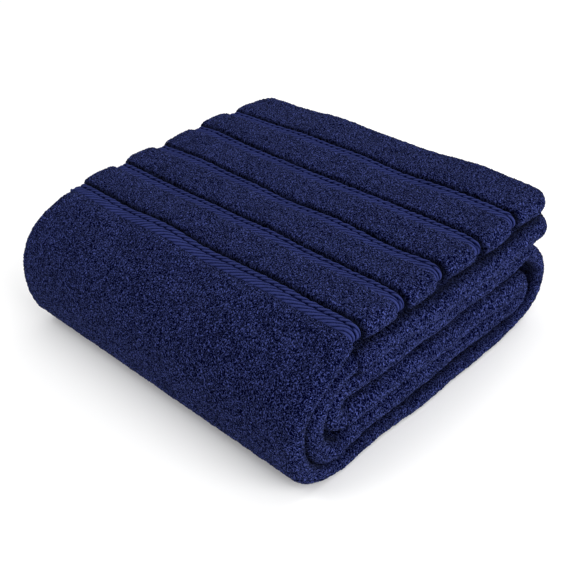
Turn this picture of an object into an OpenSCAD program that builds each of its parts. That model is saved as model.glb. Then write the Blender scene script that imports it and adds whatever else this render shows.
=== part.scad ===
// Folded terry bath towel with five woven dobby bands across its top flap.
//
// The cloth is folded in thirds across its width, so every leaf is three plies
// thick, then doubled end to end, and the doubled strip is folded in three.
// X runs along the fold lines, -Y is the big rounded front fold, +Y is the back
// with the two free ends, and +Z is up.  The origin is under the middle of the block.

/* [Folded block] */
// Width of the block, along the fold lines
fold_w = 304; // [250:1:420]
// Depth of the block, front fold to the back ends
fold_d = 274; // [220:1:360]
// Outside radius of the lower half of the front fold
front_low_r = 42; // [35:1:48]

/* [Plies] */
// Thickness of one ply of the outer leaf, where it is pulled flat round the others
outer_ply = 3.8; // [3:0.1:4.8]
// Thickness of one ply of the second leaf and of the leaf it turns into below
inner_ply = 5.4; // [4.4:0.1:6.6]
// Thickness of one ply of the two core leaves
core_ply = 6.2; // [5.2:0.1:7.6]
// Thickness of one ply of the second leaf where it bends round the core
inner_bend_ply = 4.4; // [3.6:0.1:5.4]
// Thickness of one ply of the core leaves where they bend
core_bend_ply = 5.2; // [4.2:0.1:6.2]
// Air between two plies of one leaf
ply_gap = 0.4; // [0.2:0.1:0.8]
// Air between one leaf and the next
leaf_gap = 0.6; // [0.4:0.1:1.2]

/* [Dobby bands] */
// Width of one flat woven band
band_w = 11; // [7:0.5:15]
// Width of the last terry stripe, from the last band to the end hem
last_stripe_w = 25.7; // [12:0.1:40]
// Thickness of one ply of a terry stripe, which is puffier than a band
stripe_ply = 4.8; // [4:0.1:6]
// How far each end of a band lies inside the ends of the stripes
band_inset = 2.5; // [0:0.5:6]

/* [Hems] */
// Width of the sewn hem across each end of the cloth
end_hem_w = 12; // [8:0.5:18]
// Thickness of one ply of the second leaf's end hem, which its stitches pull flat
second_hem_ply = 5; // [4:0.1:6]
// Width of the sewn hem along each long side of the cloth
side_hem_w = 6; // [4:0.5:10]
// Distance from the block's left side to the outer side hem
left_hem_inset = 8; // [6:0.5:20]
// Distance from the block's right side to the side hem inside the fold
right_hem_inset = 14; // [12:0.5:24]
// Length of one stitch
stitch_l = 3.2; // [2:0.1:4.5]
// Distance from one stitch to the next
stitch_pitch = 5; // [4.8:0.1:9]
// Thickness of the sewing thread
thread_d = 1; // [0.6:0.1:1.4]

/* [Hidden] */
$fn = 96;

terry_navy = [0.13, 0.16, 0.31];
band_navy = [0.17, 0.20, 0.36];
hem_navy = [0.11, 0.14, 0.28];
thread_navy = [0.08, 0.10, 0.22];

// Clearance between the flap and the front fold it hinges on
hinge_gap = 0.3;
// Clearance between the tip of the core and the leaf that wraps it
core_clear = 0.5;
band_count = 5;

// Thickness of a leaf, which is three plies
function leaf(ply) = 3 * ply + 2 * ply_gap;
outer_t = leaf(outer_ply);
inner_t = leaf(inner_ply);
core_t = leaf(core_ply);

// Heights of the undersides of the leaves, from the bottom leaf up
lower_z0 = outer_t + leaf_gap;
core_low_z0 = lower_z0 + inner_t + leaf_gap;
core_up_z0 = core_low_z0 + core_t + leaf_gap;
second_z0 = core_up_z0 + core_t + leaf_gap;
flap_z0 = second_z0 + inner_t + leaf_gap;
second_hem_z1 = second_z0 + leaf(second_hem_ply);
block_h = flap_z0 + outer_t;

// Places along the depth
front_y = -fold_d / 2;
back_y = fold_d / 2;
front_up_r = block_h - front_low_r;
low_bend_y = front_y + front_low_r;
hinge_y = front_y + front_up_r;
flap_y0 = hinge_y + hinge_gap;
hem_y0 = back_y - end_hem_w;
// The bands are evenly spaced from the start of the flap to the last stripe
pitch = (hem_y0 - last_stripe_w - band_w - flap_y0) / (band_count - 1);

// Bends at the back: the outer one joins the bottom leaf to the upper core leaf,
// the inner one joins the lower leaf to the lower core leaf.
back_r = (core_up_z0 + core_t) / 2;
back_bend_y = back_y - back_r;
inner_back_r = (core_low_z0 + core_t - lower_z0) / 2;

// Bends at the front, inside the outer one
wrap = outer_t + leaf_gap;
inner_low_r = front_low_r - wrap;
inner_up_r = front_up_r - wrap;
tip_r = (second_z0 - leaf_gap - core_low_z0) / 2;
tip_z = core_low_z0 + tip_r;
tip_room = inner_up_r - leaf(inner_bend_ply) - core_clear - tip_r;
tip_drop = tip_z - front_low_r;
tip_y = hinge_y - sqrt(max(0, tip_room * tip_room - tip_drop * tip_drop));

function band_y0(i) = flap_y0 + (i - 1) * pitch;
function stripe_y0(i) = band_y0(i) + band_w;
function stripe_y1(i) = i < band_count ? band_y0(i + 1) : hem_y0;

// ---- The cloth's section, drawn with X across the block and its thickness on Y ----

// Half a ring: the bend that joins two plies
module ply_turn(r, ply, right) {
    intersection() {
        difference() {
            circle(r);
            circle(r - ply);
        }
        translate([right ? 0 : -r, -r]) square([r, 2 * r]);
    }
}

// One leaf folded in thirds: long ply on top, one third turned under at the right,
// and the other third turned in between them at the left.
module thirds(w, ply) {
    t = leaf(ply);
    left_r = ply + ply_gap / 2;
    right_x = w / 2 - t / 2;
    left_x = -w / 2 + left_r;
    under_x = -fold_w / 2 + left_hem_inset + side_hem_w;
    inner_x = fold_w / 2 - right_hem_inset - side_hem_w;
    translate([left_x, t / 2 - ply]) square([right_x - left_x, ply]);
    translate([right_x, 0]) ply_turn(t / 2, ply, true);
    translate([under_x, -t / 2]) square([right_x - under_x, ply]);
    translate([left_x, (ply + ply_gap) / 2]) ply_turn(left_r, ply, false);
    translate([left_x, -ply / 2]) square([inner_x - left_x, ply]);
}

// Side hem on the third that is turned under, near the left side
module left_hem(ply) {
    translate([-fold_w / 2 + left_hem_inset, -leaf(ply) / 2]) square([side_hem_w, ply]);
}

// Side hem on the third that is turned in, near the right side
module right_hem(ply) {
    translate([fold_w / 2 - right_hem_inset - side_hem_w, -ply / 2]) square([side_hem_w, ply]);
}

module section(part, ply, w = fold_w) {
    if (part == "cloth") thirds(w, ply);
    if (part == "left_hem") left_hem(ply);
    if (part == "right_hem") right_hem(ply);
}

// ---- Laying the section along the folds ----

// A flat run from y0 to y1 with its underside at z0
module run(part, y0, y1, z0, ply, w = fold_w, long_ply_up = true) {
    translate([0, y1, z0 + leaf(ply) / 2])
        rotate([90, 0, 0])
            linear_extrude(height = y1 - y0)
                mirror([0, long_ply_up ? 0 : 1])
                    section(part, ply, w);
}

// A bend about the line at (y, z): r is its outside radius, and the angle starts
// at +Y and turns up towards +Z
module bend(part, y, z, r, ply, from, angle, long_ply_out = true) {
    translate([0, y, z])
        rotate([90, 0, 90])
            rotate_extrude(angle = angle, start = from)
                translate([r - leaf(ply) / 2, 0])
                    mirror([1, 0])
                        rotate(90)
                            mirror([0, long_ply_out ? 0 : 1])
                                section(part, ply);
}

module lay_front_fold(part) {
    bend(part, hinge_y, front_low_r, front_up_r, outer_ply, 90, 90);
    bend(part, low_bend_y, front_low_r, front_low_r, outer_ply, 180, 90);
}

module lay_bottom_leaf(part) {
    run(part, low_bend_y, back_bend_y, 0, outer_ply, fold_w, false);
}

module lay_back_fold(part) {
    bend(part, back_bend_y, back_r, back_r, outer_ply, -90, 180);
}

module lay_core_upper(part) {
    run(part, tip_y, back_bend_y, core_up_z0, core_ply);
}

module lay_half_fold(part) {
    bend(part, tip_y, tip_z, tip_r, core_bend_ply, 90, 180);
}

module lay_core_lower(part) {
    run(part, tip_y, back_bend_y, core_low_z0, core_ply, fold_w, false);
}

module lay_inner_back_fold(part) {
    bend(part, back_bend_y, lower_z0 + inner_back_r, inner_back_r, core_bend_ply, -90, 180, false);
}

module lay_lower_leaf(part) {
    run(part, low_bend_y, back_bend_y, lower_z0, inner_ply);
}

module lay_inner_front_fold(part) {
    bend(part, hinge_y, front_low_r, inner_up_r, inner_bend_ply, 90, 90, false);
    bend(part, low_bend_y, front_low_r, inner_low_r, inner_bend_ply, 180, 90, false);
}

module lay_second_leaf(part) {
    run(part, hinge_y, hem_y0, second_z0, inner_ply, fold_w, false);
}

module lay_roll(part) {
    lay_front_fold(part);
    lay_bottom_leaf(part);
    lay_back_fold(part);
    lay_core_upper(part);
    lay_half_fold(part);
    lay_core_lower(part);
    lay_inner_back_fold(part);
    lay_lower_leaf(part);
    lay_inner_front_fold(part);
    lay_second_leaf(part);
}

// ---- Hems across the two ends, and their stitches ----

// The hem is turned to the side away from the long ply.  The line of stitches lies
// in a channel across the middle of that side, at stitch_z.
module end_hem(z0, ply, long_ply_up, stitch_z) {
    channel_y = hem_y0 + (end_hem_w - thread_d) / 2;
    difference() {
        run("cloth", hem_y0, back_y, z0, ply, fold_w, long_ply_up);
        translate([-fold_w / 2, channel_y, stitch_z - thread_d / 2])
            cube([fold_w, thread_d, thread_d]);
    }
}

// Stitches along the channel, kept clear of the rounded sides
module hem_stitching(ply, stitch_z) {
    reach = fold_w - 2 * (left_hem_inset + side_hem_w + leaf(ply) / 2);
    count = floor(reach / stitch_pitch);
    for (i = [0 : count - 1])
        translate([(i - (count - 1) / 2) * stitch_pitch, hem_y0 + end_hem_w / 2, stitch_z])
            rotate([0, 90, 0])
                cylinder(h = stitch_l, d = thread_d, center = true, $fn = 24);
}

// ---- The flap ----

module dobby_band(i) {
    color(band_navy) run("cloth", band_y0(i), band_y0(i) + band_w, flap_z0, outer_ply,
        fold_w - 2 * band_inset);
}

module terry_stripe(i) {
    color(terry_navy) run("cloth", stripe_y0(i), stripe_y1(i), flap_z0, stripe_ply);
}

module dobby_band_1() { dobby_band(1); }
module dobby_band_2() { dobby_band(2); }
module dobby_band_3() { dobby_band(3); }
module dobby_band_4() { dobby_band(4); }
module dobby_band_5() { dobby_band(5); }

module terry_stripe_1() { terry_stripe(1); }
module terry_stripe_2() { terry_stripe(2); }
module terry_stripe_3() { terry_stripe(3); }
module terry_stripe_4() { terry_stripe(4); }
module terry_stripe_5() { terry_stripe(5); }

module flap_end_hem() {
    color(hem_navy) end_hem(flap_z0, outer_ply, true, flap_z0);
}

module flap_hem_stitching() {
    color(thread_navy) hem_stitching(outer_ply, flap_z0);
}

module flap_side_hem_left() {
    color(hem_navy) run("left_hem", flap_y0, back_y, flap_z0, outer_ply);
}

// This hem lies inside the fold, above a stripe's thick lower ply and below a band's
// long ply
module flap_side_hem_right() {
    z0 = flap_z0 + stripe_ply + ply_gap / 2;
    z1 = flap_z0 + 2 * outer_ply + 3 * ply_gap / 2;
    color(hem_navy) translate([fold_w / 2 - right_hem_inset - side_hem_w, flap_y0, z0])
        cube([side_hem_w, back_y - flap_y0, z1 - z0]);
}

// ---- The rolled body ----

module front_fold() {
    color(terry_navy) lay_front_fold("cloth");
}

module bottom_leaf() {
    color(terry_navy) lay_bottom_leaf("cloth");
}

module back_fold() {
    color(terry_navy) lay_back_fold("cloth");
}

module core_leaf_upper() {
    color(terry_navy) lay_core_upper("cloth");
}

module half_fold() {
    color(terry_navy) lay_half_fold("cloth");
}

module core_leaf_lower() {
    color(terry_navy) lay_core_lower("cloth");
}

module inner_back_fold() {
    color(terry_navy) lay_inner_back_fold("cloth");
}

module lower_leaf() {
    color(terry_navy) lay_lower_leaf("cloth");
}

module inner_front_fold() {
    color(terry_navy) lay_inner_front_fold("cloth");
}

module second_leaf() {
    color(terry_navy) lay_second_leaf("cloth");
}

module second_end_hem() {
    color(hem_navy) end_hem(second_z0, second_hem_ply, false, second_hem_z1);
}

module second_hem_stitching() {
    color(thread_navy) hem_stitching(second_hem_ply, second_hem_z1);
}

module roll_side_hem_left() {
    color(hem_navy) lay_roll("left_hem");
}

module roll_side_hem_right() {
    color(hem_navy) lay_roll("right_hem");
}

dobby_band_1();
dobby_band_2();
dobby_band_3();
dobby_band_4();
dobby_band_5();
terry_stripe_1();
terry_stripe_2();
terry_stripe_3();
terry_stripe_4();
terry_stripe_5();
flap_end_hem();
flap_hem_stitching();
flap_side_hem_left();
flap_side_hem_right();
front_fold();
bottom_leaf();
back_fold();
core_leaf_upper();
half_fold();
core_leaf_lower();
inner_back_fold();
lower_leaf();
inner_front_fold();
second_leaf();
second_end_hem();
second_hem_stitching();
roll_side_hem_left();
roll_side_hem_right();
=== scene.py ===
"""Folded terry bath towel: the cloth, its woven bands, its hems and their stitches.

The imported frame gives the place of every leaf.  The cloth is followed along its folds, from the flap's free
end to the second leaf's free end, and each piece is one stretch of it, folded in thirds across its width.
"""

import math

import bpy
import numpy as np
from bpy.props import FloatProperty, FloatVectorProperty, PointerProperty
from mathutils import Matrix, Vector


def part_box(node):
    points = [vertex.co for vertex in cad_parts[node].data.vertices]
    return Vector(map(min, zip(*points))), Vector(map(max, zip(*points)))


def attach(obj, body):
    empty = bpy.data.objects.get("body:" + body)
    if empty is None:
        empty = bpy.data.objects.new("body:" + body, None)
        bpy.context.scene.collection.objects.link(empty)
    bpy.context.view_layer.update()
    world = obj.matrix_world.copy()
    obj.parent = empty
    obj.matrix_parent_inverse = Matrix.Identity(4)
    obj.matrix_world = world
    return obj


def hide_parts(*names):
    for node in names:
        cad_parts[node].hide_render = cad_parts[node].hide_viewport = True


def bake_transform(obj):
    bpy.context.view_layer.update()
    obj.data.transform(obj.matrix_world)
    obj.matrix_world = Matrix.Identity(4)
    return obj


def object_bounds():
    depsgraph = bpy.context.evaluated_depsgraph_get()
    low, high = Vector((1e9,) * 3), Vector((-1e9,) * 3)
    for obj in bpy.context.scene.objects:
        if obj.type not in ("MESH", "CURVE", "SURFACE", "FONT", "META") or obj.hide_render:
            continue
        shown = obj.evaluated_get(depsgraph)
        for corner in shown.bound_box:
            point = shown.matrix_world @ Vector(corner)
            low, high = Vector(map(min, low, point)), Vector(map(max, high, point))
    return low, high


bl_info = {
    "name": "Folded bath towel",
    "version": (1, 0, 0),
    "blender": (4, 5, 0),
    "location": "View3D > Sidebar > Towel",
    "description": "Builds a folded terry bath towel with dobby bands around its packed frame",
    "category": "Object",
}

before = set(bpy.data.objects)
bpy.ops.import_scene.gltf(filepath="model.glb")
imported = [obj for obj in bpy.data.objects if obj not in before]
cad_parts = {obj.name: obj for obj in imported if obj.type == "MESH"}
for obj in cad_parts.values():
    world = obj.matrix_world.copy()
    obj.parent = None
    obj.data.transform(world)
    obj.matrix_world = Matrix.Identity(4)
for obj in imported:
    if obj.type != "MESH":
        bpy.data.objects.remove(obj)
CAD_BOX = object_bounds()

BANDS = [f"dobby_band_{i}" for i in range(1, 6)]
STRIPES = [f"terry_stripe_{i}" for i in range(1, 6)]
SEED = 11

# Air between two plies of a leaf, and the thickness of one ply of the stripes and of the two inner bends
PLY_GAP = 0.0004
STRIPE_PLY = 0.0048
CORE_BEND_PLY = 0.0052
INNER_BEND_PLY = 0.0044
# How far the flap's and the second leaf's left and right sides stand out
FLAP_SIDES = (0.0024, 0.0)
SECOND_SIDES = (0.001, 0.0045)
# How far a band's sides lie inside the stripes' sides
BAND_INSET = (0.0012, 0.0018)
# The first band's weave runs this far down the front fold
WOVEN_PAST_HINGE = 0.0018
# The last stripe's pile is puffed as if it ran this far past its end, so that it stays full over the hem
PILE_PAST_STRIPE = 0.022
# Length of cloth beside the hinge: a flap piece that reaches into it is baked in place instead of being
# carried with the flap
BEND_LENGTH = 0.06
# Distance from the floor to the lowest pile
FLOOR_CLEAR = 0.0002

# Each band is two crowned strips, which meet at this share of its width from the back
BAND_SPLIT = 0.45
CROWN_HEIGHT = 0.0006
# The groove behind each strip: its half width, its share of the groove depth, and the strength of the painted
# shade in it
BACK_GROOVE = (0.0013, 1.8, 1.1)
MIDDLE_GROOVE = (0.0007, 0.5, 0.5)
# How far the grooves and the ribs wander to each side of straight
GROOVE_WANDER = 0.00022
RIB_WANDER = 0.0004

# Painted highlight along the crown of each folded side, painted shade in the crease beside it, and painted
# shadow where a stripe's pile hangs over a band's groove
PAINTED_CROWN_HIGHLIGHT = 0.35
CREASE_SHADE = 0.72
GROOVE_SHADE = 0.75
CLUMP_HEIGHT = 0.00015
# How sharply the pile changes from tuft to gap
TUFT_CONTRAST = 1.25
# Tuft values between ribs (painted shade in the valleys), of a hem's turned side, of the cloth's inner side,
# of a side hem and of thread
VALLEY_TUFT = 0.42
TURNED_TUFT = 0.75
INNER_TUFT = 0.55
SIDE_HEM_TUFT = 0.7
THREAD_TUFT = 0.8


# ---------------------------------------------------------------- sizes and colours


class TowelSizes(bpy.types.PropertyGroup):
    """Sizes of the pile, the bands and the way the folded leaves lie"""

    mesh_step: FloatProperty(
        name="Mesh step", description="Distance between two points of a face that shows",
        default=0.00075, min=0.0004, max=0.003, unit="LENGTH")
    hidden_step: FloatProperty(
        name="Hidden step", description="Distance between two points of a face that a leaf covers",
        default=0.003, min=0.001, max=0.02, unit="LENGTH")
    tuft_spacing: FloatProperty(
        name="Tuft spacing", description="Distance between two tufts of the terry pile",
        default=0.0018, min=0.001, max=0.006, unit="LENGTH")
    tuft_height: FloatProperty(
        name="Tuft height", description="Height of a tuft above the gaps round it",
        default=0.0008, min=0.0, max=0.004, unit="LENGTH")
    stripe_puff: FloatProperty(
        name="Stripe puff", description="How far a terry stripe stands above the bands beside it",
        default=0.0038, min=0.0, max=0.008, unit="LENGTH")
    field_puff: FloatProperty(
        name="Field puff", description="How far the plain terry stands above the first band",
        default=0.0016, min=0.0, max=0.006, unit="LENGTH")
    rib_pitch: FloatProperty(
        name="Rib pitch", description="Distance between two ribs of the dobby weave",
        default=0.0027, min=0.001, max=0.006, unit="LENGTH")
    rib_height: FloatProperty(
        name="Rib height", description="Height of a rib above the valley beside it",
        default=0.0006, min=0.0, max=0.002, unit="LENGTH")
    rib_angle: FloatProperty(
        name="Rib angle", description="Angle between a rib and its band",
        default=math.radians(25), min=0.0, max=math.radians(90), subtype="ANGLE")
    groove_depth: FloatProperty(
        name="Groove depth", description="Depth of the groove along the middle and the back of a band",
        default=0.0018, min=0.0, max=0.003, unit="LENGTH")
    edge_wave: FloatProperty(
        name="Edge wave", description="How far the folded sides stray from straight",
        default=0.0008, min=0.0, max=0.005, unit="LENGTH")
    top_wave: FloatProperty(
        name="Top wave", description="How far the top of the block strays from flat",
        default=0.0008, min=0.0, max=0.005, unit="LENGTH")
    shoulder_sag: FloatProperty(
        name="Shoulder sag", description="How far the front shoulder has sunk",
        default=0.0055, min=0.0, max=0.012, unit="LENGTH")
    foot_spread: FloatProperty(
        name="Foot spread", description="How far the front fold spreads forwards just above the floor",
        default=0.0035, min=0.0, max=0.012, unit="LENGTH")
    side_ease: FloatProperty(
        name="Side ease", description="How far the cloth keeps inside the block's sides, before its pile",
        default=0.0028, min=0.0, max=0.008, unit="LENGTH")
    stitch_pitch: FloatProperty(
        name="Stitch pitch", description="Distance from one stitch to the next",
        default=0.005, min=0.002, max=0.009, unit="LENGTH")
    stitch_length: FloatProperty(
        name="Stitch length", description="Length of one stitch",
        default=0.0032, min=0.001, max=0.006, unit="LENGTH")


class TowelColours(bpy.types.PropertyGroup):
    """Colours of the cloth and thread"""

    tuft: FloatVectorProperty(
        name="Tuft", description="Colour at the top of a tuft",
        default=(0.062, 0.081, 0.280), min=0.0, max=1.0, size=3, subtype="COLOR")
    # Painted shade: this near-black colour darkens the hollows between the loops
    gap: FloatVectorProperty(
        name="Gap", description="Colour in the gaps between tufts",
        default=(0.0001, 0.0006, 0.012), min=0.0, max=1.0, size=3, subtype="COLOR")
    rib: FloatVectorProperty(
        name="Rib", description="Colour at the top of a rib of the dobby weave",
        default=(0.024, 0.032, 0.120), min=0.0, max=1.0, size=3, subtype="COLOR")
    # Painted shade: this near-black colour darkens the hollows between the ribs
    valley: FloatVectorProperty(
        name="Valley", description="Colour between two ribs",
        default=(0.0006, 0.0014, 0.015), min=0.0, max=1.0, size=3, subtype="COLOR")
    hem: FloatVectorProperty(
        name="Hem", description="Colour of the turned hems",
        default=(0.024, 0.032, 0.116), min=0.0, max=1.0, size=3, subtype="COLOR")
    thread: FloatVectorProperty(
        name="Thread", description="Colour of the sewing thread",
        default=(0.026, 0.032, 0.095), min=0.0, max=1.0, size=3, subtype="COLOR")
    sheen: FloatVectorProperty(
        name="Sheen", description="Tint of the pale sheen at grazing angles",
        default=(0.4, 0.5, 1.0), min=0.0, max=1.0, size=3, subtype="COLOR")


class TowelStage(bpy.types.PropertyGroup):
    """Floor, lights and camera"""

    floor: FloatVectorProperty(
        name="Floor", description="Colour of the floor",
        default=(0.93, 0.93, 0.93), min=0.0, max=1.0, size=3, subtype="COLOR")
    azimuth: FloatProperty(
        name="Azimuth", description="Direction the camera stands in, turned from the front towards +X",
        default=math.radians(47.5), subtype="ANGLE")
    elevation: FloatProperty(
        name="Elevation", description="Height of the camera's line of sight above the floor",
        default=math.radians(34.9), subtype="ANGLE")
    roll: FloatProperty(
        name="Roll", description="Tilt of the camera about its line of sight",
        default=math.radians(-4.5), subtype="ANGLE")
    distance: FloatProperty(
        name="Distance", description="Distance from the camera to the point it looks at",
        default=0.73, min=0.1, unit="LENGTH")
    lens: FloatProperty(
        name="Lens", description="Focal length on a 36 mm wide sensor, in millimetres",
        default=61.2, min=10.0)
    aim: FloatVectorProperty(
        name="Aim", description="Point that the camera looks at",
        default=(0.0199, -0.0136, 0.0451), size=3, subtype="TRANSLATION")
    key_power: FloatProperty(
        name="Key power", description="Power of the soft light above the front left", default=8.0, min=0.0)
    fill_power: FloatProperty(
        name="Fill power", description="Power of the soft light at the right", default=11.0, min=0.0)
    back_power: FloatProperty(
        name="Back power", description="Power of the soft light behind", default=9.0, min=0.0)
    sky: FloatProperty(
        name="Sky", description="Strength of the even light from all round", default=0.75, min=0.0)


def sizes():
    return bpy.context.scene.towel_sizes


def colours():
    return bpy.context.scene.towel_colours


def stage():
    return bpy.context.scene.towel_stage


# ---------------------------------------------------------------- the cloth's path along its folds


def low(node):
    return np.array(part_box(node)[0])


def high(node):
    return np.array(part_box(node)[1])


def three_plies(ply):
    """Thickness of a leaf, from the thickness of one of its plies."""
    return 3 * ply + 2 * PLY_GAP


def one_ply(thickness):
    """Thickness of one ply, from the thickness of its leaf."""
    return (thickness - 2 * PLY_GAP) / 3


class Folds:
    """The middle line of the three plies, followed from the flap's free end to the second leaf's free end.

    s is the distance along it.  Each node owns a span of s.  The normal points to the long ply's side:
    up on the flap, outwards on the front fold.
    """

    STEP = 0.0005
    SMOOTH = 0.004

    def __init__(self):
        self.line = []
        self.spans = {}
        self.follow()
        self.smooth()

    def add(self, node, points, thickness):
        """Put points at the end of the line, without the first where it only repeats the last one."""
        skip = 1 if self.line and math.dist(self.line[-1][:2], points[0]) < 2 * self.STEP else 0
        start = max(len(self.line) - 1, 0)
        self.line += [(y, z, thickness) for y, z in points[skip:]]
        self.spans[node] = (start, len(self.line) - 1)

    def run(self, node, y0, y1, z, thickness):
        count = max(3, int(round(abs(y1 - y0) / self.STEP)) + 1)
        self.add(node, [(y, z) for y in np.linspace(y0, y1, count)], thickness)

    def bend(self, node, y, z, radius, start, end, thickness):
        """An arc about (y, z) with this outside radius, from one angle to another in degrees."""
        mid = radius - thickness / 2
        count = max(5, int(round(abs(math.radians(end - start)) * mid / self.STEP)) + 1)
        angles = np.radians(np.linspace(start, end, count))
        self.add(node, [(y + mid * math.cos(a), z + mid * math.sin(a)) for a in angles], thickness)

    def leaf(self, node, forwards):
        """A flat run through a node's box, towards the front or towards the back."""
        a, b = low(node), high(node)
        ends = (b[1], a[1]) if forwards else (a[1], b[1])
        self.run(node, *ends, (a[2] + b[2]) / 2, b[2] - a[2])

    def follow(self):
        outer = high("dobby_band_1")[2] - low("dobby_band_1")[2]
        flap_z = low("dobby_band_1")[2] + outer / 2
        for node in ["flap_end_hem"] + [n for pair in zip(STRIPES[::-1], BANDS[::-1]) for n in pair]:
            self.run(node, high(node)[1], low(node)[1], flap_z, outer)
        front, top = low("front_fold"), high("front_fold")
        low_y = low("bottom_leaf")[1]
        low_r, up_r = low_y - front[1], top[1] - front[1]
        self.bend("front_fold", top[1], low_r, up_r, 90, 180, outer)
        start = self.spans["front_fold"][0]
        self.bend("front_fold", low_y, low_r, low_r, 180, 270, outer)
        self.spans["front_fold"] = (start, self.spans["front_fold"][1])
        self.leaf("bottom_leaf", forwards=False)
        back_r = high("back_fold")[2] / 2
        self.bend("back_fold", low("back_fold")[1], back_r, back_r, -90, 90, outer)
        self.leaf("core_leaf_upper", forwards=True)
        self.half_turn("half_fold", high("half_fold")[1], 90, 270)
        self.leaf("core_leaf_lower", forwards=False)
        self.half_turn("inner_back_fold", low("inner_back_fold")[1], 90, -90)
        self.leaf("lower_leaf", forwards=True)
        self.inner_front(low_y, top[1], low_r)
        self.leaf("second_leaf", forwards=False)
        self.leaf("second_end_hem", forwards=False)

    def half_turn(self, node, y, start, end):
        radius = (high(node)[2] - low(node)[2]) / 2
        self.bend(node, y, low(node)[2] + radius, radius, start, end, three_plies(CORE_BEND_PLY))

    def inner_front(self, low_y, top_y, z):
        """The second leaf's bend sits inside the front fold, round the same two centres."""
        front = low("inner_front_fold")[1]
        thickness = three_plies(INNER_BEND_PLY)
        self.bend("inner_front_fold", low_y, z, low_y - front, 270, 180, thickness)
        start = self.spans["inner_front_fold"][0]
        self.bend("inner_front_fold", top_y, z, top_y - front, 180, 90, thickness)
        self.spans["inner_front_fold"] = (start, self.spans["inner_front_fold"][1])

    def smooth(self):
        """Ease the small steps where one node hands over to the next."""
        path = np.array(self.line)
        reach = int(4 * self.SMOOTH / self.STEP)
        ahead = 2 * path[:1] - path[reach:0:-1]
        behind = 2 * path[-1:] - path[-2:-reach - 2:-1]
        padded = np.concatenate([ahead, path, behind])
        offsets = np.arange(-reach, reach + 1) * self.STEP
        weights = np.exp(-0.5 * (offsets / self.SMOOTH) ** 2)
        weights /= weights.sum()
        path = np.stack([np.convolve(padded[:, k], weights, "valid") for k in range(3)], 1)
        steps = np.hypot(np.diff(path[:, 0]), np.diff(path[:, 1]))
        self.s = np.concatenate([[0], np.cumsum(steps)])
        self.path = path
        self.tangent = np.gradient(path[:, :2], self.s, axis=0)
        self.tangent /= np.linalg.norm(self.tangent, axis=1)[:, None]
        self.spans = {node: (self.s[a], self.s[b]) for node, (a, b) in self.spans.items()}
        hinge = self.spans["front_fold"][0] + WOVEN_PAST_HINGE
        self.spans["dobby_band_1"] = (self.spans["dobby_band_1"][0], hinge)
        self.spans["front_fold"] = (hinge, self.spans["front_fold"][1])

    def at(self, s):
        """Middle point, thickness and normal at each distance s: y, z, thickness, ny, nz."""
        y, z, thickness = (np.interp(s, self.s, self.path[:, k]) for k in range(3))
        ty, tz = (np.interp(s, self.s, self.tangent[:, k]) for k in range(2))
        size = np.hypot(ty, tz)
        return y, z, thickness, tz / size, -ty / size


# ---------------------------------------------------------------- grain: seeded, seamless height fields


class Grain:
    """A seamless square of noise whose waves lie between two lengths, read at any point."""

    def __init__(self, side, cells, shortest, longest, seed):
        self.side, self.cells = side, cells
        random = np.random.default_rng(seed)
        waves = np.fft.fft2(random.standard_normal((cells, cells)))
        k = np.fft.fftfreq(cells, side / cells)
        size = np.hypot(k[:, None], k[None, :])
        middle = (1 / shortest + 1 / longest) / 2
        width = max((1 / shortest - 1 / longest) / 2, 1e-9)
        field = np.fft.ifft2(waves * np.exp(-0.5 * ((size - middle) / width) ** 2) * (size > 0)).real
        self.field = field / field.std()

    def __call__(self, u, v):
        x = np.mod(u / self.side, 1.0) * self.cells
        y = np.mod(v / self.side, 1.0) * self.cells
        i, j = x.astype(int) % self.cells, y.astype(int) % self.cells
        fx, fy = x - np.floor(x), y - np.floor(y)
        i1, j1 = (i + 1) % self.cells, (j + 1) % self.cells
        f = self.field
        return ((f[i, j] * (1 - fx) + f[i1, j] * fx) * (1 - fy)
                + (f[i, j1] * (1 - fx) + f[i1, j1] * fx) * fy)


def smoothstep(x, start, end):
    """0 before start and 1 after end, with an easy curve between."""
    t = np.clip((x - start) / (end - start), 0, 1)
    return t * t * (3 - 2 * t)


def hump(distance, half_width):
    """1 at no distance, falling smoothly to nearly 0 two half widths away."""
    return np.exp(-(distance / half_width) ** 2)


# ---------------------------------------------------------------- the section, folded in thirds


# The stretches across the cloth, from the edge that is turned in to the edge that is turned under
INNER, LEFT, LONG, RIGHT, UNDER = range(5)
# Distance from the block's side to each side hem, and the hem's width
LEFT_HEM = (0.008, 0.006)
RIGHT_HEM = (0.014, 0.006)


def layout(thickness, half_width, step, long_step, under_step):
    """Points across the cloth: each one's stretch, its place on it, and whether the inside has it too."""
    lengths = {INNER: 2 * half_width, LEFT: math.pi * one_ply(thickness), LONG: 2 * half_width,
               RIGHT: math.pi * thickness / 2, UNDER: 2 * half_width}
    steps = {INNER: 0.06, LEFT: step, LONG: long_step, RIGHT: step, UNDER: under_step}
    inside = {INNER: 5, LEFT: 3, LONG: 8, RIGHT: 5, UNDER: 8}
    kinds, places, kept = [], [], []
    for kind in range(5):
        cells = max(inside[kind], int(round(lengths[kind] / steps[kind])))
        keep = set(np.round(np.linspace(0, cells, inside[kind] + 1)).astype(int))
        for i in range(0 if kind == INNER else 1, cells + 1):
            kinds.append(kind)
            places.append(i / cells)
            kept.append(i in keep)
    return np.array(kinds), np.array(places), np.array(kept)


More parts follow.
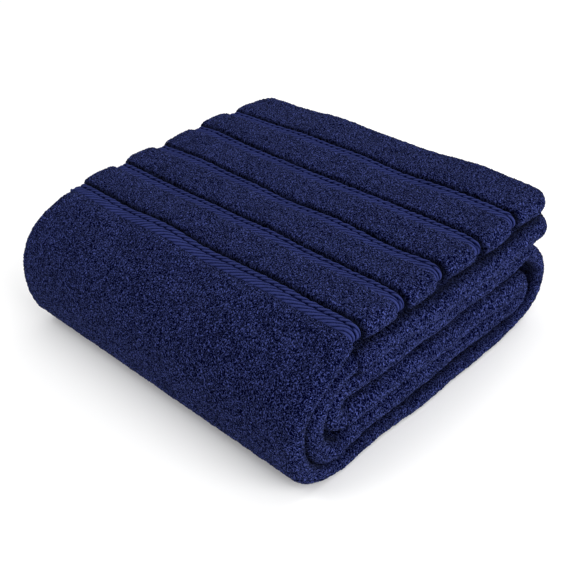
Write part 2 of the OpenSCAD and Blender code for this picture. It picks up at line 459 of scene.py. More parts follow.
def section(kinds, places, thickness, right, left, half_nominal):
    """Offsets of the points from the middle line: x and n, the outward direction, and the ply's thickness.

    thickness, right and left hold one value for each place along the cloth.
    """
    t, right, left = (np.asarray(v)[:, None] for v in (thickness, right, left))
    k, q = kinds[None, :], places[None, :]
    ply = one_ply(t)
    turn = ply + PLY_GAP / 2
    left_x, right_x = -left + turn, right - t / 2
    inner_x = half_nominal - sum(RIGHT_HEM)
    under_x = -half_nominal + sum(LEFT_HEM)
    zero = np.zeros_like(t * q)
    left_a = np.radians(270 - 180 * q)
    right_a = np.radians(90 - 180 * q)
    x = np.select(
        [k == INNER, k == LEFT, k == LONG, k == RIGHT],
        [inner_x + q * (left_x - inner_x), left_x + turn * np.cos(left_a),
         left_x + q * (right_x - left_x), right_x + t / 2 * np.cos(right_a)],
        right_x + q * (under_x - right_x))
    n = np.select(
        [k == INNER, k == LEFT, k == LONG, k == RIGHT],
        [zero - ply / 2, (ply + PLY_GAP) / 2 + turn * np.sin(left_a),
         zero + t / 2, t / 2 * np.sin(right_a)],
        zero - t / 2)
    out_x = np.select([k == LEFT, k == RIGHT], [zero + np.cos(left_a), zero + np.cos(right_a)], zero)
    out_n = np.select(
        [k == LEFT, k == RIGHT, k == LONG],
        [zero + np.sin(left_a), zero + np.sin(right_a), zero + 1], zero - 1)
    return x, n, out_x, out_n, zero + ply


# ---------------------------------------------------------------- building the pieces


class Cloth:
    """Everything the pieces share: the folds and the grains of the pile and of the folded sides."""

    def __init__(self):
        size = sizes()
        self.folds = Folds()
        spacing = size.tuft_spacing
        self.tufts = Grain(0.256, 640, 0.75 * spacing, 1.5 * spacing, SEED)
        self.clumps = Grain(0.256, 256, 0.006, 0.018, SEED + 1)
        self.waves = Grain(1.024, 256, 0.07, 0.2, SEED + 2)
        self.sides = Grain(1.024, 256, 0.05, 0.16, SEED + 3)
        self.half = (high("front_fold")[0] - low("front_fold")[0]) / 2
        self.inset = self.half - high("dobby_band_1")[0]
        self.step = size.mesh_step

    def band_at(self, s):
        """For each s on the flap: the height of the stripes' puff, and the place across a band, or -1."""
        size = sizes()
        puff = np.zeros_like(s)
        band = np.full_like(s, -1.0)
        for node in STRIPES:
            s0, s1 = self.folds.spans[node]
            if node == STRIPES[-1]:
                s0 -= PILE_PAST_STRIPE
            v = np.clip((s - s0) / (s1 - s0), 0, 1)
            edge = np.sqrt(np.clip(1 - np.abs(2 * v - 1) ** 7, 0, 1))
            dome = 1 - (2 * v - 1) ** 2
            inside = (s >= s0) & (s <= s1)
            puff = np.where(inside, size.stripe_puff * (0.78 * edge + 0.22 * dome), puff)
        for node in BANDS:
            s0, s1 = self.folds.spans[node]
            inside = (s >= s0) & (s <= s1)
            band = np.where(inside, (s - s0) / (s1 - s0), band)
        hinge = self.folds.spans["front_fold"][0]
        puff = np.where(s > hinge, size.field_puff * smoothstep(s, hinge, hinge + 0.007), puff)
        return puff, band

    def painted_groove_shadow(self, s):
        """Painted shadow: 1 where a stripe's pile hangs over the groove of the band in front of it, 0
        elsewhere.
        """
        starts = [self.folds.spans[node][0] for node in BANDS]
        return sum(hump(start - s, BACK_GROOVE[0]) * (s <= start) for start in starts)

    def dobby(self, x, s, across, width):
        """Height and tuft value of a band: two crowned strips, a groove behind each, and slanting ribs; the
        tuft value holds painted shade in the grooves and between the ribs.
        """
        size = sizes()
        across = across + GROOVE_WANDER * self.clumps(x, s) / width
        behind = across < BAND_SPLIT
        place = np.where(behind, across / BAND_SPLIT, (across - BAND_SPLIT) / (1 - BAND_SPLIT))
        crown = CROWN_HEIGHT * (1 - (2 * place - 1) ** 2)
        back = hump(across * width, BACK_GROOVE[0])
        middle = hump((across - BAND_SPLIT) * width, MIDDLE_GROOVE[0])
        groove = size.groove_depth * (BACK_GROOVE[1] * back + MIDDLE_GROOVE[1] * middle)
        y = -s + RIB_WANDER * self.sides(x, s)
        slant = -x * math.sin(size.rib_angle) + y * math.cos(size.rib_angle)
        rib = (0.5 + 0.5 * np.cos(2 * math.pi * slant / size.rib_pitch)) ** 0.8
        # Painted shade: the tuft value falls in the grooves and between the ribs, which darkens the colour
        # there
        shade = np.clip(1 - BACK_GROOVE[2] * back - MIDDLE_GROOVE[2] * middle, 0, 1)
        tuft = (VALLEY_TUFT + (1 - VALLEY_TUFT) * rib) * shade
        return crown - groove + size.rib_height * rib, tuft

    def end_rounding(self, s):
        """Share of its thickness that the cloth keeps, which falls towards its two free ends."""
        rounding = 0.005
        short = (rounding - np.clip(self.to_free_end(s), 0, rounding)) / rounding
        return np.sqrt(np.clip(1 - short ** 2, 0.16, 1))

    def to_free_end(self, s):
        """Distance along the cloth to the nearer of its two free ends."""
        return np.minimum(s, self.folds.s[-1] - s)

    def reach(self, s, sides):
        """How far the leaf's right and left sides stand from the middle of the block."""
        rounding, corner_depth = 0.016, 0.012
        short = (rounding - np.clip(self.to_free_end(s), 0, rounding)) / rounding
        corner = corner_depth * (1 - np.sqrt(np.clip(1 - short ** 2, 0, 1)))
        on_flap = s < self.folds.spans["front_fold"][0]
        middle = self.half - np.where(on_flap, self.inset, 0.0) - corner - sizes().side_ease
        taper = np.where(on_flap, 0.0025 * (1 - smoothstep(s, 0.0, 0.07)), 0.0)
        wander = sizes().edge_wave
        right = middle - taper + wander * self.sides(s + 0.11, s * 0 + 0.3) + sides[1]
        left = middle + wander * self.sides(s + 0.53, s * 0 + 0.7) + sides[0]
        return right, left

    def settle(self, points):
        """Ease the regular folds into the way a soft block lies: a sunken shoulder and drooping ends."""
        size = sizes()
        x, y, z = points[..., 0], points[..., 1], points[..., 2]
        top = CAD_BOX[1][2]
        height = smoothstep(z, 0.3 * top, top)
        # The front shoulder has sunk, least at the left end
        lean = 0.35 + 0.65 * smoothstep(x, -self.half, -0.3 * self.half)
        behind_crest = y - (high("front_fold")[1] - 0.022)
        shoulder = lean * hump(behind_crest, 0.017) * smoothstep(z, 0.5 * top, top)
        # The upper leaves sag over the back fold, and their free ends creep backwards
        back_y = high("back_fold")[1]
        back = 0.0015 * smoothstep(y, back_y - 0.035, back_y) * smoothstep(z, 0.6 * top, 0.8 * top)
        creep = smoothstep(y, 0.115, high("flap_end_hem")[1]) * smoothstep(z, 0.8 * top, 0.86 * top)
        # Slow waves all over the top, drooping ends, and a fuller right back corner
        wave = size.top_wave * self.waves(x + 0.3, y + 0.2) * height
        ends = 0.0015 * smoothstep(np.abs(x), 0.8 * self.half, self.half) * height
        rise = 0.002 * smoothstep(y, 0.03, 0.12) * smoothstep(x, -0.05, 0.1)
        rise = rise * smoothstep(z, 0.5 * top, 0.9 * top)
        # The front fold spreads forwards just above the floor
        foot = hump(z - 0.010, 0.015) * smoothstep(-y, 0.08, 0.118)
        moved = points.copy()
        moved[..., 1] += 0.3 * size.shoulder_sag * shoulder - size.foot_spread * foot + 0.0028 * creep
        moved[..., 2] -= size.shoulder_sag * shoulder + back - wave + ends - rise
        return moved


CLOTH = {}


def cloth():
    """The one cloth that every piece is cut from."""
    if "shared" not in CLOTH:
        CLOTH["shared"] = Cloth()
    return CLOTH["shared"]


def link(name, points, faces, attributes=(), face_slots=None):
    """A smooth shaded mesh object with values on its points and a material number on each face."""
    mesh = bpy.data.meshes.new(name)
    mesh.from_pydata(points.tolist() if hasattr(points, "tolist") else points, [], faces)
    for title, values in attributes:
        layer = mesh.attributes.new(title, "FLOAT", "POINT")
        layer.data.foreach_set("value", np.asarray(values, np.float32))
    if face_slots is not None:
        mesh.polygons.foreach_set("material_index", np.asarray(face_slots, np.int32))
    mesh.polygons.foreach_set("use_smooth", np.ones(len(mesh.polygons), bool))
    piece = bpy.data.objects.new(name, mesh)
    bpy.context.collection.objects.link(piece)
    return piece


def cloth_coordinates(piece, u, v):
    """A UV map in metres of flat cloth, so a weave lies along the cloth wherever it is folded."""
    mesh = piece.data
    corners = np.empty(len(mesh.loops), np.int32)
    mesh.loops.foreach_get("vertex_index", corners)
    layer = mesh.uv_layers.new(name="cloth")
    both = np.stack([u[corners], v[corners]], 1).astype(np.float32)
    layer.data.foreach_set("uv", both.ravel())


def closed_strip_faces(rows, outer, inner_index):
    """Faces of a strip of cloth that is closed all round: outer side, inner side, two edges and two ends.

    outer is the number of points across the outer side, and inner_index says which of them the inner has.
    """
    inner = len(inner_index)
    across = outer + inner
    j = np.arange(rows - 1)[:, None] * across
    i = np.arange(outer - 1)[None, :]
    top = np.stack([j + i, j + i + 1, j + i + 1 + across, j + i + across], -1).reshape(-1, 4)
    k = outer + np.arange(inner - 1)[None, :]
    under = np.stack([j + k, j + k + across, j + k + 1 + across, j + k + 1], -1).reshape(-1, 4)
    jj = j[:, 0]
    first = np.stack([jj, jj + across, jj + outer + across, jj + outer], -1)
    last = np.stack([jj + outer - 1, jj + across - 1, jj + 2 * across - 1, jj + across + outer - 1], -1)
    faces = np.concatenate([top, under, first, last]).tolist()
    for row, flip in ((0, False), (rows - 1, True)):
        base = row * across
        for m in range(inner - 1):
            a, b = inner_index[m], inner_index[m + 1]
            ring = list(range(base + a, base + b + 1)) + [base + outer + m + 1, base + outer + m]
            faces.append(ring if flip else ring[::-1])
    return faces, len(top)


def make_leaf(node, materials, sides=(0.0, 0.0), kind="pile", row_step=None, long_step=None, under_step=None,
              exposed=True):
    """The stretch of cloth that stands for a node, folded in thirds, as a closed mesh, and its span.

    sides says how far its left and right sides stand out.  kind is pile, dobby or hem.  The steps are the
    distances between its points along the folds and across the long ply and the under ply, in place of the
    usual ones.  exposed is for a leaf that no other leaf covers on its long ply's side.
    """
    shared, size = cloth(), sizes()
    step = shared.step
    span = shared.folds.spans[node]
    rows = max(4, int(round((span[1] - span[0]) / (row_step or step))) + 1)
    s = np.linspace(*span, rows)
    y, z, thickness, ny, nz = shared.folds.at(s)
    thickness = thickness * shared.end_rounding(s)
    mean = float(thickness.mean())
    right, left = shared.reach(s, sides)
    under_step = max(under_step or 4 * size.hidden_step, step)
    kinds, places, kept = layout(mean, shared.half, step, max(long_step or step, step), under_step)
    x, n, out_x, out_n, ply = section(kinds, places, thickness, right, left, shared.half)
    across = np.broadcast_to(across_cloth(kinds, places, shared.half)[None, :], x.shape)
    along = np.broadcast_to(s[:, None], x.shape)
    outwards = facing_out(kinds, places)[None, :]
    lift, tuft = relief(kind, kinds, x, across, along, outwards, under_step < 0.004)
    # Painted light kept on each point as a colour scale: painted highlight on the crowns, painted shade in
    # the creases and painted shadow over each band's back groove
    painted_shading = shades(kinds, places, exposed) * (1 - GROOVE_SHADE * shared.painted_groove_shadow(s)[:, None] * outwards)

    def lay(offset_x, offset_n):
        """Points at these offsets from the middle line, settled as the block has."""
        return shared.settle(np.stack([
            offset_x, y[:, None] + offset_n * ny[:, None], z[:, None] + offset_n * nz[:, None]], -1))

    def spread(field, keep=1.0, inside=0.0):
        """A value for each outer point, and after them one for each inner point."""
        field = np.broadcast_to(field, x.shape)
        return np.concatenate([field, keep * field[:, kept] + inside], 1).ravel()

    outer = lay(x + out_x * lift, n + out_n * lift)
    outer[..., 2] = np.maximum(outer[..., 2], FLOOR_CLEAR)
    inner = lay((x - out_x * ply)[:, kept], (n - out_n * ply)[:, kept])
    points = np.concatenate([outer, inner], 1).reshape(-1, 3)
    faces, outer_faces = closed_strip_faces(rows, len(kinds), np.flatnonzero(kept).tolist())
    face_slots = np.zeros(len(faces), int)
    if kind == "hem":
        face_slots[:outer_faces] = np.tile(kinds[1:] == UNDER, rows - 1)
        face_slots[outer_faces:] = 1
    # The inner side has a plain tuft value and its own place along the cloth, so cut edges look like cloth
    values = [("tuft", spread(tuft, 0.0, INNER_TUFT)), ("painted_shading", spread(painted_shading))]
    piece = link(f"{node}_cloth", points, faces, values, face_slots)
    cloth_coordinates(piece, spread(across), spread(along, 1.0, mean / 3))
    for name in materials:
        piece.data.materials.append(material(name))
    face_outwards(piece)
    return piece, span


def facing_out(kinds, places):
    """1 on the long ply's face, falling to 0 round the folded sides."""
    return np.select(
        [kinds == RIGHT, kinds == LEFT, kinds == LONG],
        [1 - smoothstep(places, 0.35, 0.95), smoothstep(places, 0.2, 0.6), np.ones(len(kinds))], 0.0)


def relief(kind, kinds, x, across, along, outwards, under_shows):
    """How far each outer point stands out, and its tuft value: 1 on a crest and 0 in a gap."""
    shared = cloth()
    s = along[:, 0]
    puff, band = shared.band_at(s)
    lift = puff[:, None] * outwards
    if kind == "dobby":
        ribs, tuft = shared.dobby(x, along, band[:, None] * np.ones_like(x), s[-1] - s[0])
        lift = lift + np.where(outwards > 0, ribs * outwards, 0)
    else:
        shows = np.select([kinds == INNER, kinds == UNDER], [0.0, float(under_shows)], 1.0)[None, :]
        tuft = 0.5 + 0.5 * np.tanh(TUFT_CONTRAST * shared.tufts(across, along))
        pile = sizes().tuft_height * (tuft - 0.5) + CLUMP_HEIGHT * shared.clumps(across, along)
        lift = lift + pile * shows
    turned = (kinds == UNDER) & (kind == "hem")
    return np.where(turned, 0.0, lift), np.where(turned, TURNED_TUFT, tuft)


def shades(kinds, places, exposed):
    """Painted light on each point across a leaf: a painted highlight on the crowns, painted shade in the gaps
    beside other leaves.
    """
    sides = [kinds == RIGHT, kinds == LEFT]
    # Mask of the painted shade in the creases beside other leaves
    if exposed:
        painted_crease_mask = np.select(sides, [smoothstep(places, 0.5, 1.0), 1 - smoothstep(places, 0.0, 0.45)], 0.0)
    else:
        both = np.maximum(1 - smoothstep(places, 0.0, 0.35), smoothstep(places, 0.65, 1.0))
        painted_crease_mask = np.select(sides, [both, both], 0.0)
    # Where the painted highlight falls along each crown
    crown = np.where(sides[0] | sides[1], np.sin(math.pi * places) ** 2, 0.0)
    return ((1 - CREASE_SHADE * painted_crease_mask) * (1 + PAINTED_CROWN_HIGHLIGHT * crown))[None, :]


def across_cloth(kinds, places, half):
    """Distance across the flat cloth of each point of the layout."""
    thickness = three_plies(STRIPE_PLY)
    lengths = [2 * half - sum(RIGHT_HEM), math.pi * STRIPE_PLY, 2 * half - thickness,
               math.pi * thickness / 2, 2 * half - sum(LEFT_HEM)]
    starts = np.concatenate([[0], np.cumsum(lengths)])
    return starts[kinds] + places * np.array(lengths)[kinds]


def volume(piece):
    """Signed volume of a closed mesh."""
    mesh = piece.data
    mesh.calc_loop_triangles()
    corners = np.empty(len(mesh.loop_triangles) * 3, np.int32)
    mesh.loop_triangles.foreach_get("vertices", corners)
    points = np.empty(len(mesh.vertices) * 3)
    mesh.vertices.foreach_get("co", points)
    tri = points.reshape(-1, 3)[corners.reshape(-1, 3)]
    return float(np.einsum("ij,ij->i", tri[:, 0], np.cross(tri[:, 1], tri[:, 2])).sum() / 6)


def face_outwards(piece):
    """Turn a closed mesh's faces outwards."""
    if volume(piece) < 0:
        piece.data.flip_normals()


def carry(piece, body):
    """Move a piece with its body; a flap piece that reaches within BEND_LENGTH of the hinge is baked in place
    and not moved with the flap.
    """
    hinge_y, hinge_z = high("front_fold")[1:]
    bend_y = hinge_y + BEND_LENGTH
    if body == "flap" and min(v.co.y for v in piece.data.vertices) < bend_y:
        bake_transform(piece)
    else:
        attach(piece, body)


def finish(piece, node, body):
    """Carry a piece with its body, and let it stand for its node."""
    carry(piece, body)
    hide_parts(node)


def finish_leaf(piece, node, body):
    """The same for a stretch of the cloth."""
    finish(piece, node, body)


# ---------------------------------------------------------------- materials


def new_material(name):
    """A new material, its node tree and its shader."""
    made = bpy.data.materials.new(name)
    made.use_nodes = True
    return made, made.node_tree, made.node_tree.nodes["Principled BSDF"]


def add(tree, kind, **values):
    """A new shader node with these settings."""
    node = tree.nodes.new(kind)
    for key, value in values.items():
        setattr(node, key, value)
    return node


def woven(name, light, dark, curl_pitch, yarn_pitch, shares, depth, sheen):
    """A matt cotton finish: light loops over gaps in painted shade, from the mesh's own relief and a finer
    curl.

    curl_pitch and yarn_pitch are the spacing in millimetres of the curled loops and of the yarn's fibres.
    shares says how much the relief, the curls and the fibres each count for.
    """
    made, tree, shader = new_material(name)
    uv = add(tree, "ShaderNodeUVMap", uv_map="cloth")
    millimetres = add(tree, "ShaderNodeMapping")
    millimetres.inputs["Scale"].default_value = (1000, 1000, 1000)
    tree.links.new(uv.outputs["UV"], millimetres.inputs["Vector"])

    def noise(pitch, detail, distortion):
        node = add(tree, "ShaderNodeTexNoise")
        node.inputs["Scale"].default_value = 1 / pitch
        node.inputs["Detail"].default_value = detail
        node.inputs["Distortion"].default_value = distortion
        tree.links.new(millimetres.outputs["Vector"], node.inputs["Vector"])
        return node.outputs["Fac"]

    def math_node(operation, *values, clamp=False):
        node = add(tree, "ShaderNodeMath", operation=operation, use_clamp=clamp)
        for socket, value in zip(node.inputs, values):
            if isinstance(value, bpy.types.NodeSocket):
                tree.links.new(value, socket)
            else:
                socket.default_value = value
        return node.outputs[0]

    # The noise crosses its middle value along curled lines, which are the crests of the loops
    distance = math_node("ABSOLUTE", math_node("SUBTRACT", noise(2 * curl_pitch, 1.0, 0.8), 0.5))
    curl = math_node("SUBTRACT", 1.0, math_node("MULTIPLY", distance, 6.0), clamp=True)
    fibre = noise(yarn_pitch, 2.0, 0.6)
    tuft = add(tree, "ShaderNodeAttribute", attribute_name="tuft").outputs["Fac"]
    total = math_node("MULTIPLY_ADD", curl, shares[1], math_node("MULTIPLY", tuft, shares[0]))
    total = math_node("MULTIPLY_ADD", math_node("SUBTRACT", fibre, 0.5), shares[2], total)
    # The light and dark pattern is the pile's grain, but where the ramp is low the colour falls to a
    # near-black colour that is painted shade in the hollows between loops and ribs
    ramp = add(tree, "ShaderNodeMapRange", interpolation_type="SMOOTHSTEP")
    ramp.inputs["From Min"].default_value = 0.46
    ramp.inputs["From Max"].default_value = 0.96
    tree.links.new(total, ramp.inputs["Value"])
    colour = add(tree, "ShaderNodeMix", data_type="RGBA")
    colour.inputs["A"].default_value = (*dark, 1)
    colour.inputs["B"].default_value = (*light, 1)
    tree.links.new(ramp.outputs["Result"], colour.inputs["Factor"])
    drift = add(tree, "ShaderNodeMapRange")
    drift.inputs["From Min"].default_value = 0.3
    drift.inputs["From Max"].default_value = 0.7
    drift.inputs["To Min"].default_value = 0.9
    drift.inputs["To Max"].default_value = 1.1
    tree.links.new(noise(24.0, 3.0, 0.0), drift.inputs["Value"])
    # The colour is scaled by a random drift in tone and by the point attribute that holds the painted
    # highlight and painted shade
    painted_shading = add(tree, "ShaderNodeVectorMath", operation="SCALE")
    tree.links.new(colour.outputs["Result"], painted_shading.inputs[0])
    shown = add(tree, "ShaderNodeAttribute", attribute_name="painted_shading").outputs["Fac"]
    tree.links.new(math_node("MULTIPLY", drift.outputs["Result"], shown), painted_shading.inputs["Scale"])
    tree.links.new(painted_shading.outputs["Vector"], shader.inputs["Base Color"])
    height = math_node("MULTIPLY_ADD", fibre, 0.5, curl)
    bump = add(tree, "ShaderNodeBump")
    bump.inputs["Strength"].default_value = 0.8
    bump.inputs["Distance"].default_value = depth
    tree.links.new(height, bump.inputs["Height"])
    tree.links.new(bump.outputs["Normal"], shader.inputs["Normal"])
    shader.inputs["Roughness"].default_value = 0.94
    shader.inputs["Specular IOR Level"].default_value = 0.01
    shader.inputs["Sheen Weight"].default_value = sheen
    shader.inputs["Sheen Roughness"].default_value = 0.25
    shader.inputs["Sheen Tint"].default_value = (*colours().sheen, 1)
    return made


MATERIALS = {}


def material(name):
    """One of the towel's four finishes, made when it is first asked for."""
    if name not in MATERIALS:
        c = colours()
        finishes = {
            "terry pile": (c.tuft, c.gap, 0.8, 0.6, (0.3, 0.62, 0.5), 0.0009, 0.07),
            "dobby weave": (c.rib, c.valley, 1.1, 0.5, (1.05, 0.1, 0.35), 0.0002, 0.06),
            "hem cloth": (c.hem, c.gap, 1.0, 0.5, (1.0, 0.3, 0.4), 0.0002, 0.08),
            "sewing thread": (c.thread, c.gap, 0.6, 0.3, (0.7, 0.3, 0.4), 0.0001, 0.15),
        }
        MATERIALS[name] = woven(name, *finishes[name])
    return MATERIALS[name]


# ---------------------------------------------------------------- operators


# Distance between the points of an under ply that shows when the flap is lifted, and between a band's rows
UNDER_STEP = 0.002
BAND_ROW_STEP = 0.0004


class TOWEL_OT_stage(bpy.types.Operator):
    """Lay the floor, set the soft lights and stand the camera"""

    bl_idname = "towel.stage"
    bl_label = "Stage"

    def execute(self, context):
        s = stage()
        bpy.ops.mesh.primitive_plane_add(size=12.0, location=(0, 0, -0.0003))
        floor = context.active_object
        floor.name = "floor"
        surface, _, shader = new_material("floor paper")
        shader.inputs["Base Color"].default_value = (*s.floor, 1)
        shader.inputs["Roughness"].default_value = 0.9
        shader.inputs["Specular IOR Level"].default_value = 0.1
        floor.data.materials.append(surface)
        world = bpy.data.worlds.new("studio")
        world.use_nodes = True
        world.node_tree.nodes["Background"].inputs["Color"].default_value = (1, 1, 1, 1)
        world.node_tree.nodes["Background"].inputs["Strength"].default_value = s.sky
        context.scene.world = world
        context.scene.view_settings.view_transform = "Standard"
        self.softbox("key", (-0.55, -0.9, 1.25), 0.9, s.key_power)
        self.softbox("fill", (1.2, -0.1, 0.8), 0.8, s.fill_power)
        self.softbox("back", (0.2, 1.3, 0.9), 0.9, s.back_power)
        self.camera(context, s)
        return {"FINISHED"}

    def softbox(self, name, place, side, power):
        data = bpy.data.lights.new(name, "AREA")
        data.shape = "SQUARE"
        data.size = side
        data.energy = power
        lamp = bpy.data.objects.new(name, data)
        lamp.location = place
        lamp.rotation_euler = (Vector((0, 0, 0.05)) - Vector(place)).to_track_quat("-Z", "Y").to_euler()
        bpy.context.collection.objects.link(lamp)

    def camera(self, context, s):
        away = Vector((math.sin(s.azimuth) * math.cos(s.elevation),
                       -math.cos(s.azimuth) * math.cos(s.elevation), math.sin(s.elevation)))
        right = Vector((0, 0, 1)).cross(away).normalized()
        up = away.cross(right)
        turn = Matrix.Rotation(s.roll, 3, away)
        right, up = turn @ right, turn @ up
        data = bpy.data.cameras.new("camera")
        data.lens = s.lens
        data.sensor_width = 36.0
        data.clip_start = 0.05
        camera = bpy.data.objects.new("camera", data)
        axes = Matrix((right, up, away)).transposed()
        camera.matrix_world = Matrix.Translation(Vector(s.aim) + s.distance * away) @ axes.to_4x4()
        context.collection.objects.link(camera)
        context.scene.camera = camera


class TOWEL_OT_stripes(bpy.types.Operator):
    """Make the five puffy terry stripes of the flap"""

    bl_idname = "towel.stripes"
    bl_label = "Terry stripes"

    def execute(self, context):
        for node in STRIPES:
            piece, span = make_leaf(node, ["terry pile"], FLAP_SIDES, under_step=UNDER_STEP)
            finish_leaf(piece, node, "flap")
        return {"FINISHED"}


class TOWEL_OT_bands(bpy.types.Operator):
    """Make the five flat dobby bands woven into the flap"""

    bl_idname = "towel.bands"
    bl_label = "Dobby bands"

    def execute(self, context):
        sides = [flap - inset for flap, inset in zip(FLAP_SIDES, BAND_INSET)]
        for node in BANDS:
            piece, span = make_leaf(node, ["dobby weave"], sides, "dobby", BAND_ROW_STEP,
                                    under_step=UNDER_STEP)
            finish_leaf(piece, node, "flap")
        return {"FINISHED"}


class TOWEL_OT_roll(bpy.types.Operator):
    """Make the folded body under the flap, one piece for each leaf and each fold"""

    bl_idname = "towel.roll"
    bl_label = "Folded body"

    # Piece, whether its long ply's face shows, how far its left and right sides stand out, what it lies on
    LEAVES = [
        ("front_fold", "shown", (-0.003, 0.0), "inner_front_fold"),
        ("bottom_leaf", "on the floor", (0.0, 0.0005), "floor"),
        ("back_fold", "shown", (0.0, 0.0), "inner_back_fold"),
        ("core_leaf_upper", "hidden", (0.0, -0.0005), "core_leaf_lower"),
        ("half_fold", "hidden", (0.0, 0.0), "lower_leaf"),
        ("core_leaf_lower", "hidden", (0.0, 0.0008), "lower_leaf"),
        ("inner_back_fold", "hidden", (0.0, -0.001), "bottom_leaf"),
        ("lower_leaf", "hidden", (0.0, -0.0008), "bottom_leaf"),
        ("inner_front_fold", "hidden", (0.0, 0.001), "half_fold"),
        ("second_leaf", "hidden", SECOND_SIDES, "core_leaf_upper"),
    ]

    def execute(self, context):
        size = sizes()
        long_steps = {"hidden": 0.02, "shown": size.mesh_step, "on the floor": size.hidden_step}
        for node, shown, sides, rests_on in self.LEAVES:
            under_step = 0.0025 if node == "second_leaf" else None
            piece, span = make_leaf(node, ["terry pile"], sides, long_step=long_steps[shown],
                                    under_step=under_step, exposed=shown != "hidden")
            finish_leaf(piece, node, "roll")
        return {"FINISHED"}


class TOWEL_OT_end_hems(bpy.types.Operator):
    """Make the hems across the two free ends, with their lines of stitches"""

    bl_idname = "towel.end_hems"
    bl_label = "End hems"

    def execute(self, context):
        for node, thread, body, below, sides in (
                ("flap_end_hem", "flap_hem_stitching", "flap", "second_end_hem", FLAP_SIDES),
                ("second_end_hem", "second_hem_stitching", "roll", "core_leaf_upper", SECOND_SIDES)):
            piece, span = make_leaf(node, ["terry pile", "hem cloth"], sides, "hem", under_step=UNDER_STEP)
            finish_leaf(piece, node, body)
            stitches(thread, body)
        return {"FINISHED"}


def stitches(node, body):
    """A row of short sewn stitches on the hem, each a slim rounded bead of thread."""
    size = sizes()
    a, b = low(node), high(node)
    middle = (a + b) / 2
    thread_radius = 0.00045
    count = int((b[0] - a[0]) / size.stitch_pitch) + 1
    rings = np.linspace(-1, 1, 7)
    around = np.linspace(0, 2 * math.pi, 8, endpoint=False)
    points, faces = [], []
    for i in range(count):
        centre = a[0] + size.stitch_length / 2 + i * size.stitch_pitch
        base = len(points)
        for r in rings:
            swell = thread_radius * math.sqrt(max(0.06, 1 - r ** 4))
            for angle in around:
                points.append((centre + r * size.stitch_length / 2, middle[1] + swell * math.cos(angle),
                               middle[2] + swell * math.sin(angle)))
        for k in range(len(rings) - 1):
            for m in range(len(around)):
                n = (m + 1) % len(around)
                p = base + k * len(around)
                faces.append((p + m, p + n, p + len(around) + n, p + len(around) + m))
        faces.append(tuple(base + m for m in range(len(around)))[::-1])
        faces.append(tuple(base + (len(rings) - 1) * len(around) + m for m in range(len(around))))
    points = cloth().settle(np.array(points))
    full = np.ones(len(points))
    piece = link(f"{node}_thread", points, faces, [("tuft", THREAD_TUFT * full), ("painted_shading", full)])
    cloth_coordinates(piece, points[:, 0], points[:, 1])
    piece.data.materials.append(material("sewing thread"))
    face_outwards(piece)
    finish(piece, node, body)


class TOWEL_OT_side_hems(bpy.types.Operator):
    """Make the narrow hems along the cloth's two long sides, which lie inside the folds"""

    bl_idname = "towel.side_hems"
    bl_label = "Side hems"

    def execute(self, context):
        for body in ("flap", "roll"):
            for side in ("left", "right"):
                node = f"{body}_side_hem_{side}"
                finish(side_hem(node, body, side), node, body)
        return {"FINISHED"}


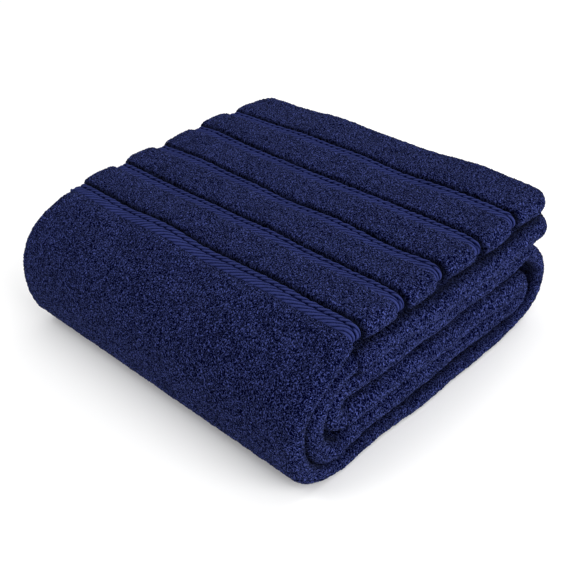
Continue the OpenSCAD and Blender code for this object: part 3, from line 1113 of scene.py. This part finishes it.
def side_hem(node, body, side):
    """A narrow turned hem along the folds: a rounded flat section pushed along the cloth's path."""
    shared = cloth()
    folds = shared.folds
    join = folds.spans["front_fold"][0]
    s0, s1 = (0.0, join) if body == "flap" else (join, folds.s[-1])
    step, end_gap = 0.0015, 0.0005
    s = np.linspace(s0 + end_gap, s1 - end_gap, int((s1 - s0) / step))
    y, z, thickness, ny, nz = folds.at(s)
    ply = one_ply(thickness)
    angles = np.linspace(0, 2 * math.pi, 14, endpoint=False)
    flat = np.sign(np.cos(angles)) * np.abs(np.cos(angles)) ** 0.4
    thick = np.sign(np.sin(angles)) * np.abs(np.sin(angles)) ** 0.6
    inset, width = LEFT_HEM if side == "left" else RIGHT_HEM
    if side == "left":
        x_mid = -shared.half + inset + width / 2
        n_mid = -thickness / 2 + ply / 2
    else:
        x_mid = shared.half - inset - width / 2
        n_mid = np.zeros_like(s)
    x = x_mid + flat[None, :] * width / 2 * np.ones_like(s)[:, None]
    n = n_mid[:, None] + thick[None, :] * ply[:, None] / 2
    points = np.stack([x, y[:, None] + n * ny[:, None], z[:, None] + n * nz[:, None]], -1)
    points = shared.settle(points)
    points[..., 2] = np.maximum(points[..., 2], 2 * FLOOR_CLEAR)
    count = len(angles)
    faces = []
    for j in range(len(s) - 1):
        for i in range(count):
            k = (i + 1) % count
            faces.append((j * count + i, j * count + k, (j + 1) * count + k, (j + 1) * count + i))
    faces.append(tuple(range(count))[::-1])
    faces.append(tuple((len(s) - 1) * count + i for i in range(count)))
    u = np.broadcast_to(flat[None, :] * width / 2, x.shape).ravel()
    v = np.broadcast_to(s[:, None], x.shape).ravel()
    full = np.ones(len(u))
    values = [("tuft", SIDE_HEM_TUFT * full), ("painted_shading", full)]
    piece = link(f"{node}_cloth", points.reshape(-1, 3), faces, values)
    cloth_coordinates(piece, u, v)
    piece.data.materials.append(material("hem cloth"))
    face_outwards(piece)
    return piece


class TOWEL_PT_panel(bpy.types.Panel):
    """Builds the towel piece by piece"""

    bl_label = "Folded towel"
    bl_idname = "TOWEL_PT_panel"
    bl_space_type = "VIEW_3D"
    bl_region_type = "UI"
    bl_category = "Towel"

    def draw(self, context):
        scene = context.scene
        for group in (scene.towel_sizes, scene.towel_colours, scene.towel_stage):
            box = self.layout.box()
            for name in group.bl_rna.properties.keys():
                if name not in {"rna_type", "name"}:
                    box.prop(group, name)
        for operator in OPERATORS:
            self.layout.operator(operator.bl_idname)


OPERATORS = (TOWEL_OT_stage, TOWEL_OT_roll, TOWEL_OT_stripes, TOWEL_OT_bands, TOWEL_OT_end_hems,
             TOWEL_OT_side_hems)
CLASSES = (TowelSizes, TowelColours, TowelStage) + OPERATORS + (TOWEL_PT_panel,)


def register():
    for item in CLASSES:
        bpy.utils.register_class(item)
    bpy.types.Scene.towel_sizes = PointerProperty(type=TowelSizes)
    bpy.types.Scene.towel_colours = PointerProperty(type=TowelColours)
    bpy.types.Scene.towel_stage = PointerProperty(type=TowelStage)


def unregister():
    del bpy.types.Scene.towel_stage
    del bpy.types.Scene.towel_colours
    del bpy.types.Scene.towel_sizes
    for item in reversed(CLASSES):
        bpy.utils.unregister_class(item)


def main():
    register()
    bpy.ops.towel.stage()
    bpy.ops.towel.roll()
    bpy.ops.towel.stripes()
    bpy.ops.towel.bands()
    bpy.ops.towel.end_hems()
    bpy.ops.towel.side_hems()


if __name__ == "__main__":
    main()
